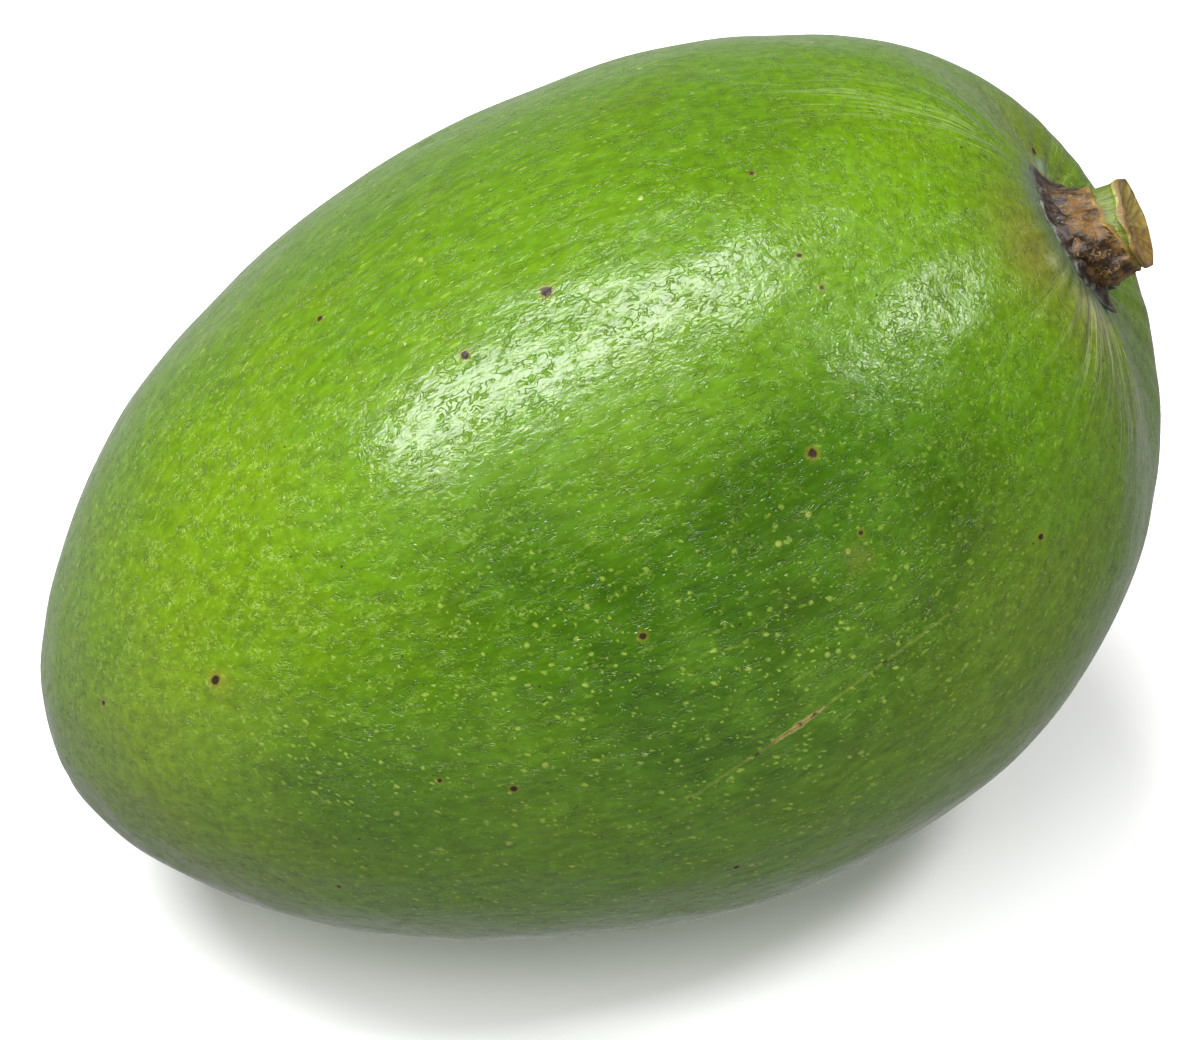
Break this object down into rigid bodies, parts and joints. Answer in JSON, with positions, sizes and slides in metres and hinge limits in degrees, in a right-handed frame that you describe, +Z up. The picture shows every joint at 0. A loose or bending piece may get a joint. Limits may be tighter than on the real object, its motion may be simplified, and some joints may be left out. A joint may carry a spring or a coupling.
{
  "type": "mango",
  "caption": "Whole unripe green mango with its cut stalk and dry calyx, lying on its side on a small flat spot.",
  "frame": {"origin": "on the flat spot that the fruit rests on, directly under its centre of mass", "axes": "+Z up, away from the surface it lies on; +X level, under the fruit's long axis, from the blossom end to the stalk end; +Y to the left of that"},
  "size_m": [0.1138, 0.0867, 0.0841],
  "materials": {
    "waxy_green_skin": "waxy semi-gloss fruit skin, green with pale lenticels",
    "woody_stalk": "rough ochre-brown bark with green patches and a cut end",
    "dry_calyx": "dry, dark brown, matte remains of the calyx"
  },
  "bodies": {
    "root": {"fruit": "waxy_green_skin", "stem_stub": "woody_stalk", "calyx": "dry_calyx"}
  },
  "joints": []
}
